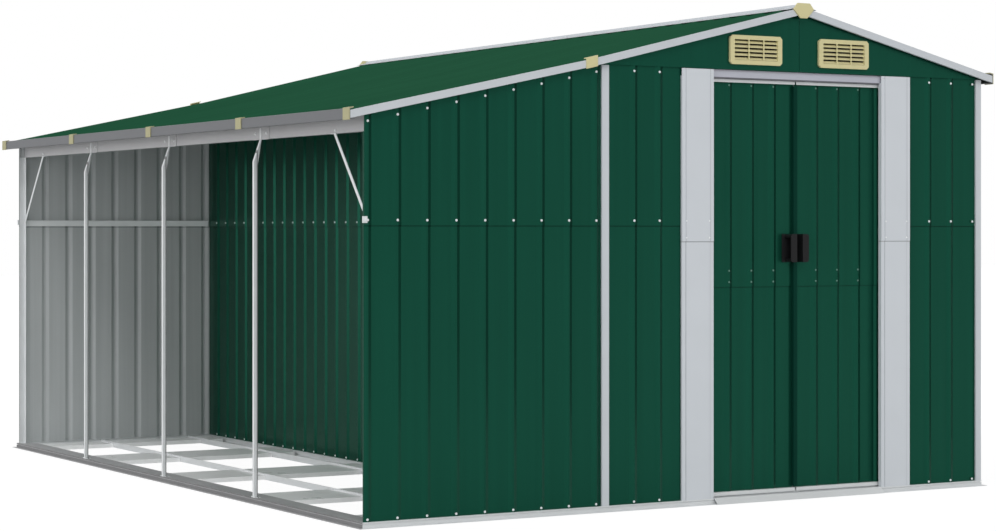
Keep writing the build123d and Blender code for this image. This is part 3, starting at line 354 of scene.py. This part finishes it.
# Frame and door gear: rails, floor beams, posts, braces, purlins, threshold, sill and the doors'
# frames, folded from zinc plated steel with faint patches, and bolted or screwed together.
ZINC = (0.70, 0.72, 0.73)
zinc = coated_metal("zinc_plate", ZINC, roughness=0.36, metallic=0.3, cloud=0.07)
dress(zinc, "base_rails_ends", "base_rail_middle", "floor_beams", "threshold",
      "leanto_end_posts", "open_side_posts", "corner_braces", "top_rails", "roof_purlins",
      "door_sill", "left_door_frame", "right_door_frame")

# Middle rails: small angles of bright zinc plated steel on the inner side of the walls, behind
# the sheets' lap, whose screws hold them.
RAIL_WHITE = (0.90, 0.92, 0.93)
dress(coated_metal("zinc_bright", RAIL_WHITE, roughness=0.3, metallic=0.1), "middle_rails")

# Eaves beam: a folded channel over the open side, of zinc plated steel gone dull, with a joint
# plate bolted on at each post.
DULL_ZINC = (0.46, 0.46, 0.47)
dress(coated_metal("zinc_dull", DULL_ZINC, roughness=0.45, metallic=0.2, cloud=0.08),
      "eaves_beam")

# Side rails of the base: folded from the same dull steel and mitred at the corners. Their
# upright step is darker: painted shade.
OPEN_X, RIGHT_X = -1.2965, 1.3165
RAIL_STEP = 0.009
STEP_SHADE_WIDTH, STEP_SHADE = 0.003, 0.45
rail_shade_lines = [("X", x, STEP_SHADE_WIDTH, STEP_SHADE) for x in (OPEN_X - RAIL_STEP, RIGHT_X + RAIL_STEP)]
dress(coated_metal("zinc_rail", DULL_ZINC, roughness=0.45, metallic=0.2, cloud=0.1,
                   lines=rail_shade_lines), "base_rails_sides")

# Header: the channel that the doors hang from, folded from coated steel with a bluish cast and
# fixed across the doorway from wall to wall.
HEADER_GREY = (0.44, 0.45, 0.51)
dress(coated_metal("header_grey", HEADER_GREY, cloud=0.03), "door_header")

# Floor cross plates: sheets of plated steel with their edges turned down, laid between the rails
# and the floor beams. They are the palest of the plated pieces.
PLATE_WHITE = (0.96, 0.97, 0.97)
dress(coated_metal("plate_white", PLATE_WHITE, roughness=0.3, cloud=0.04), "floor_plates")

# Rake clips, ridge end caps and vents: moulded from cream plastic. The clips and caps cover the
# joints and ends of the trims, and the vents sit on the gables.
BEIGE = (0.60, 0.55, 0.30)
dress(coated_metal("clip_beige", BEIGE, roughness=0.5, specular=0.35, cloud=0.03),
      "ridge_end_caps", "rake_clips", "gable_vents")

# Eave clips: hooked over the eave trims and moulded from the same plastic, here in a darker
# beige that is painted shade, for the shade that falls on the clips.
SHADED_BEIGE = (0.38, 0.36, 0.21)
dress(coated_metal("clip_beige_shaded", SHADED_BEIGE, roughness=0.55, specular=0.3, cloud=0.08),
      "eave_clips")

# Handles: pulls moulded from black plastic, a plate and a hollow grip, one on each door beside
# its meeting edge.
BLACK = (0.010, 0.010, 0.011)
dress(coated_metal("handle_black", BLACK, roughness=0.45, specular=0.22, cloud=0.1),
      "left_door_handle", "right_door_handle")

# Cover strip: a folded strip fixed to the left door in front of the gap between the doors. Its
# very dark green is painted shade, for the shade along that gap.
STRIP_SHADE_GREEN = (0.002, 0.032, 0.021)
dress(coated_metal("door_strip_shaded", STRIP_SHADE_GREEN, roughness=0.6, specular=0.04), "door_cover_strip")


# Brush seal: a strip behind the header's face, hung from its ledge in front of the doors' tops to
# hide the gap above them. Its dark grey is painted shade, for the shade in that gap.
def box_mesh(name, boxes):
    """One mesh of separate boxes, each given by its low and high corner."""
    sides = ((0, 2, 3, 1), (4, 5, 7, 6), (0, 1, 5, 4), (2, 6, 7, 3), (0, 4, 6, 2), (1, 3, 7, 5))
    points, faces = [], []
    for low, high in boxes:
        base = len(points)
        xs, ys, zs = zip(low, high)
        points += [(x, y, z) for z in zs for y in ys for x in xs]
        faces += [[base + corner for corner in side] for side in sides]
    mesh = bpy.data.meshes.new(name)
    mesh.from_pydata(points, [], faces)
    return mesh


def fit(name, boxes, material, body):
    """Make a piece of boxes, coat it and fix it to a body."""
    mesh = box_mesh(name, boxes)
    mesh.materials.append(material)
    piece = bpy.data.objects.new(name, mesh)
    scene.collection.objects.link(piece)
    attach(piece, body)


FRONT_Y = -1.6865
BRUSH_HALF = 0.390
BRUSH_Y = (FRONT_Y + 0.0034, FRONT_Y + 0.0054)
BRUSH_Z = (1.5070, 1.5128)
# Painted shade: the strip's dark grey stands for the shade in the gap above the doors.
BRUSH_SHADE_GREY = (0.16, 0.16, 0.18)
brush = coated_metal("brush_shaded_grey", BRUSH_SHADE_GREY, roughness=0.8, specular=0.1, cloud=0.1)
brush_box = ((RIDGE_X - BRUSH_HALF, BRUSH_Y[0], BRUSH_Z[0]),
             (RIDGE_X + BRUSH_HALF, BRUSH_Y[1], BRUSH_Z[1]))
fit("header_brush", [brush_box], brush, "shed")

# Hem of the lean-to's front wall: the free edge of its enamelled sheets, folded back so that
# green shows where the wall ends at the open side.
HEM_X = (OPEN_X - 0.0012, OPEN_X - 0.0002)
HEM_Z = (0.0205, 1.2900)
HEM_WIDTH = 0.0065
hem_green = painted_sheet("enamel_hem", WALL_GREEN, WALL_GREEN, "X", -1)
hem_box = ((HEM_X[0], FRONT_Y, HEM_Z[0]), (HEM_X[1], FRONT_Y + HEM_WIDTH, HEM_Z[1]))
fit("leanto_front_hem", [hem_box], hem_green, "shed")

# Posts of the open side: square tubes of zinc plated steel on foot plates, with a band of painted
# shade down the inner side of each tube. Each narrows over 80 mm near its top as it bends in, and
# ends in a flat tongue that lies against the joint plate of the eaves beam.
BACK_Y = 1.6865
BAYS = 4
RAIL_TOP = 0.020
POST_HALF = 0.007
TUBE_X = (OPEN_X - 0.0090, OPEN_X + 0.0050)
TUBE_TOP = (1.212, 1.200)
TONGUE_X = (OPEN_X + 0.0185, OPEN_X + 0.0205)
TONGUE_Z = (1.292, 1.332)
POST_PROFILE = [(TUBE_X[0], RAIL_TOP), (TUBE_X[0], TUBE_TOP[0]),
                (TONGUE_X[0], TONGUE_Z[0]), (TONGUE_X[0], TONGUE_Z[1]),
                (TONGUE_X[1], TONGUE_Z[1]), (TONGUE_X[1], TONGUE_Z[0]),
                (TUBE_X[1], TUBE_TOP[1]), (TUBE_X[1], RAIL_TOP)]
FOOT_X = (OPEN_X - 0.0087, OPEN_X + 0.0133)
FOOT_HALF = 0.017
FOOT_TOP = 0.022
POST_ZINC = (0.70, 0.72, 0.73)
# Painted shade: a darker band down the inner side of each tube.
POST_SHADE_BAND = ("X", OPEN_X + 0.0031, 0.0038, 0.30)
post_rows = [FRONT_Y + (BACK_Y - FRONT_Y) / BAYS * step for step in range(1, BAYS)]
points, faces = [], []
count = len(POST_PROFILE)
for y in post_rows:
    near, far = len(points), len(points) + count
    for edge_y in (y - POST_HALF, y + POST_HALF):
        points += [(x, edge_y, z) for x, z in POST_PROFILE]
    faces.append([near + corner for corner in reversed(range(count))])
    faces.append([far + corner for corner in range(count)])
    for corner in range(count):
        after = (corner + 1) % count
        faces.append([near + corner, near + after, far + after, far + corner])
feet = box_mesh("post_feet", [((FOOT_X[0], y - FOOT_HALF, RAIL_TOP),
                               (FOOT_X[1], y + FOOT_HALF, FOOT_TOP)) for y in post_rows])
base = len(points)
points += [tuple(vertex.co) for vertex in feet.vertices]
faces += [[base + corner for corner in face.vertices] for face in feet.polygons]
bpy.data.meshes.remove(feet)
post_mesh = bpy.data.meshes.new("bent_posts")
post_mesh.from_pydata(points, [], faces)
post_mesh.materials.append(coated_metal("zinc_post", POST_ZINC, roughness=0.34, metallic=0.1,
                                        lines=[POST_SHADE_BAND]))
bent_posts = bpy.data.objects.new("bent_posts", post_mesh)
scene.collection.objects.link(bent_posts)
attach(bent_posts, "shed")
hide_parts("open_side_posts")

# Self-drilling screws: hexagon heads on round washers, of plated steel. They sit on the walls'
# ribs at the base rail, the lap and the top, on the doors' ribs at the lap and the top, and in
# pairs where the jambs lap.
SHEET = 0.0015
RIB = 0.006
LOW_RIB = RIB - 0.0018
SHED_X = -0.3825
RIDGE_Z, ROOF_SLOPE = 1.7720, 0.2437
JOINT_X, LEANTO_SLOPE = -0.4385, 0.213
ROW_BASE, ROW_LAP, ROW_TOP = 0.028, 1.0015, 1.520
LEANTO_FIRST, LEANTO_PITCH, LEANTO_RIBS = OPEN_X + 0.011, 0.110, 9
LEANTO_DROP = 0.048
FRONT_RIBS = [0.6069, 0.7125, 0.818]
BACK_PITCH = 0.1056
BACK_RIBS = [BACK_PITCH * step for step in range(8)]
SIDE_FIRST, SIDE_PITCH, SIDE_RIBS = FRONT_Y + 0.0035, 0.102, 34
LEANTO_CLEAR, SEAM_CLEAR, RIGHT_CLEAR, CORNER_CLEAR = 0.02, 0.032, 0.03, 0.05
DOOR_RIBS = (0.0960, 0.1933, 0.2906)
DOOR_ROWS = (0.7834, 0.8236, 1.485)
JAMB_ROWS = (0.942, 1.001)
JAMB_SCREWS = (JAMB_INNER + 0.020, JAMB_OUTER - 0.018)
SIZE_WALL, SIZE_DOOR, SIZE_JAMB = 0.68, 0.56, 0.5
DOOR_FACE = FRONT_Y + 0.021
JAMB_FACE = FRONT_Y - 0.0075 - 2 * SHEET
screws = {"shed": [], "left_door": [], "right_door": []}


def roof_line(x):
    """Height of the roof's edge line at x."""
    if x > JOINT_X:
        return RIDGE_Z - ROOF_SLOPE * abs(x - RIDGE_X)
    return RIDGE_Z - ROOF_SLOPE * (RIDGE_X - JOINT_X) - LEANTO_SLOPE * (JOINT_X - x)


def screw(body, place, facing, size=SIZE_WALL):
    """Note one screw: where its washer sits, the way it points and its size."""
    screws[body].append((place, facing, size))


def end_rows(x, wall_y, out, top):
    """The three screws on one rib of a front or back sheet."""
    for stand, z in ((LOW_RIB, ROW_BASE), (RIB, ROW_LAP), (RIB, top)):
        screw("shed", (x, wall_y + out * stand, z), (0, out, 0))


for wall_y, out in ((FRONT_Y, -1), (BACK_Y, 1)):
    for step in range(LEANTO_RIBS):
        x = LEANTO_FIRST + LEANTO_PITCH * step
        if x < SHED_X - LEANTO_CLEAR:
            end_rows(x, wall_y, out, roof_line(x) - LEANTO_DROP)
    for offset in FRONT_RIBS if out < 0 else BACK_RIBS:
        for side in (-1, 1) if offset else (1,):
            x = RIDGE_X + side * offset
            if SHED_X + SEAM_CLEAR < x < RIGHT_X - RIGHT_CLEAR:
                end_rows(x, wall_y, out, ROW_TOP)
for wall_x, out in ((SHED_X, -1), (RIGHT_X, 1)):
    for step in range(SIDE_RIBS):
        y = SIDE_FIRST + SIDE_PITCH * step
        if FRONT_Y + CORNER_CLEAR < y < BACK_Y - CORNER_CLEAR:
            for stand, z in ((LOW_RIB, ROW_BASE), (RIB, ROW_LAP), (RIB, ROW_TOP)):
                screw("shed", (wall_x + out * stand, y, z), (out, 0, 0))
for side, body in ((-1, "left_door"), (1, "right_door")):
    for rib in DOOR_RIBS:
        for z in DOOR_ROWS:
            screw(body, (RIDGE_X + side * rib, DOOR_FACE, z), (0, -1, 0), SIZE_DOOR)
    for z in JAMB_ROWS:
        for reach in JAMB_SCREWS:
            screw("shed", (RIDGE_X + side * reach, JAMB_FACE, z), (0, -1, 0), SIZE_JAMB)

# Bolts of the open side, of the same steel: two through each joint plate of the beam, one in each
# post's foot, and one through each end of a brace. A small plate outside the wall takes the
# brace's lower bolt.
BEAM_X = OPEN_X + 0.022
JOINT_BOLT_Y, JOINT_BOLT_Z = 0.045, 1.312
FOOT_BOLT = (OPEN_X - 0.009, 0.012)
BRACE_REACH, BRACE_BOLT_Z = 0.253, 1.302
SIZE_BEAM_BOLT, SIZE_FOOT_BOLT, SIZE_BRACE_BOLT = 0.8, 0.6, 0.9
PLATE_X = (OPEN_X - 0.0060, OPEN_X + 0.0090)
PLATE_Z = (0.992, 1.014)
PLATE_STAND = 0.0085
PLATE_BOLT = (OPEN_X + 0.0020, 1.0035)
ends = ((FRONT_Y, -1), (BACK_Y, 1))
for y in post_rows:
    for along in (-JOINT_BOLT_Y, JOINT_BOLT_Y):
        screw("shed", (BEAM_X - SHEET, y + along, JOINT_BOLT_Z), (-1, 0, 0), SIZE_BEAM_BOLT)
    screw("shed", (FOOT_BOLT[0], y + FOOT_BOLT[1], FOOT_TOP), (0, 0, 1), SIZE_FOOT_BOLT)
for wall_y, out in ends:
    screw("shed", (BEAM_X, wall_y - out * BRACE_REACH, BRACE_BOLT_Z), (-1, 0, 0), SIZE_BEAM_BOLT)
plates = [((PLATE_X[0], wall_y + min(0, out * PLATE_STAND), PLATE_Z[0]),
           (PLATE_X[1], wall_y + max(0, out * PLATE_STAND), PLATE_Z[1])) for wall_y, out in ends]
fit("brace_foot_plates", plates, zinc, "shed")
for wall_y, out in ends:
    place = (PLATE_BOLT[0], wall_y + out * PLATE_STAND, PLATE_BOLT[1])
    screw("shed", place, (0, out, 0), SIZE_BRACE_BOLT)

# The screws and bolts themselves: a washer and a hexagon head grown on every noted place, turned
# at random about its axis. Those on the doors are painted a dull green.
SCREW_SIZES = {"Head Radius": 0.0045, "Head Height": 0.0032,
               "Washer Radius": 0.0064, "Washer Height": 0.0012}
TURN_SEED = 11
WASHER_SIDES, HEAD_SIDES = 16, 6
SCREW_ZINC = (0.80, 0.82, 0.83)
SCREW_GREEN = (0.13, 0.24, 0.20)
screw_metal = coated_metal("screw_metal", SCREW_ZINC, roughness=0.34, metallic=0.25, cloud=0.03)
dull_metal = coated_metal("screw_green", SCREW_GREEN, roughness=0.4, metallic=0.2)

tree = bpy.data.node_groups.new("screw_heads", "GeometryNodeTree")
add_socket = tree.interface.new_socket
add_socket("Geometry", in_out="INPUT", socket_type="NodeSocketGeometry")
for label in SCREW_SIZES:
    add_socket(label, in_out="INPUT", socket_type="NodeSocketFloat")
add_socket("Seed", in_out="INPUT", socket_type="NodeSocketInt")
add_socket("Metal", in_out="INPUT", socket_type="NodeSocketMaterial")
add_socket("Geometry", in_out="OUTPUT", socket_type="NodeSocketGeometry")
node, join = tree.nodes.new, tree.links.new
given = node("NodeGroupInput")
made = node("NodeGroupOutput")
parts = node("GeometryNodeJoinGeometry")
below = None
for sides, layer in ((WASHER_SIDES, "Washer"), (HEAD_SIDES, "Head")):
    height = given.outputs[layer + " Height"]
    disc = node("GeometryNodeMeshCylinder")
    disc.inputs["Vertices"].default_value = sides
    join(given.outputs[layer + " Radius"], disc.inputs["Radius"])
    join(height, disc.inputs["Depth"])
    half = node("ShaderNodeMath")
    half.operation = "MULTIPLY_ADD"
    half.inputs[1].default_value = 0.5
    half.inputs[2].default_value = 0.0
    join(height, half.inputs[0])
    if below is not None:
        join(below, half.inputs[2])
    below = height
    lift = node("ShaderNodeCombineXYZ")
    join(half.outputs[0], lift.inputs["Z"])
    raised = node("GeometryNodeTransform")
    join(disc.outputs["Mesh"], raised.inputs["Geometry"])
    join(lift.outputs[0], raised.inputs["Translation"])
    join(raised.outputs[0], parts.inputs[0])
way_out = node("GeometryNodeInputNamedAttribute")
way_out.data_type = "FLOAT_VECTOR"
way_out.inputs["Name"].default_value = "facing"
aim = node("FunctionNodeAlignRotationToVector")
aim.axis = "Z"
join(way_out.outputs["Attribute"], aim.inputs["Vector"])
turn = node("FunctionNodeRandomValue")
turn.data_type = "FLOAT"
turn.inputs["Max"].default_value = math.tau
join(given.outputs["Seed"], turn.inputs["Seed"])
spin = node("FunctionNodeAxisAngleToRotation")
join([socket for socket in turn.outputs if socket.enabled][0], spin.inputs["Angle"])
turned = node("FunctionNodeRotateRotation")
turned.rotation_space = "LOCAL"
join(aim.outputs[0], turned.inputs[0])
join(spin.outputs[0], turned.inputs[1])
noted_size = node("GeometryNodeInputNamedAttribute")
noted_size.data_type = "FLOAT"
noted_size.inputs["Name"].default_value = "size"
placed = node("GeometryNodeInstanceOnPoints")
join(given.outputs["Geometry"], placed.inputs["Points"])
join(parts.outputs[0], placed.inputs["Instance"])
join(turned.outputs[0], placed.inputs["Rotation"])
size_values = [socket for socket in noted_size.outputs
               if socket.enabled and socket.name == "Attribute"]
join(size_values[0], placed.inputs["Scale"])
real = node("GeometryNodeRealizeInstances")
join(placed.outputs[0], real.inputs[0])
coat = node("GeometryNodeSetMaterial")
join(real.outputs[0], coat.inputs["Geometry"])
join(given.outputs["Metal"], coat.inputs["Material"])
join(coat.outputs[0], made.inputs["Geometry"])

socket_of = {item.name: item.identifier for item in tree.interface.items_tree
             if item.in_out == "INPUT"}
for body, rows in screws.items():
    points = bpy.data.meshes.new("screw_points_" + body)
    points.from_pydata([place for place, facing, size in rows], [], [])
    ways = points.attributes.new("facing", "FLOAT_VECTOR", "POINT")
    ways.data.foreach_set("vector", [value for place, facing, size in rows for value in facing])
    sizes = points.attributes.new("size", "FLOAT", "POINT")
    sizes.data.foreach_set("value", [size for place, facing, size in rows])
    carrier = bpy.data.objects.new("screw_carrier_" + body, points)
    scene.collection.objects.link(carrier)
    growth = carrier.modifiers.new("screws", "NODES")
    growth.node_group = tree
    for label, value in SCREW_SIZES.items():
        growth[socket_of[label]] = value
    growth[socket_of["Seed"]] = TURN_SEED
    growth[socket_of["Metal"]] = screw_metal if body == "shed" else dull_metal
    graph = bpy.context.evaluated_depsgraph_get()
    heads = bpy.data.meshes.new_from_object(carrier.evaluated_get(graph), depsgraph=graph)
    bpy.data.objects.remove(carrier)
    piece = bpy.data.objects.new("screws_" + body, heads)
    scene.collection.objects.link(piece)
    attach(piece, body)
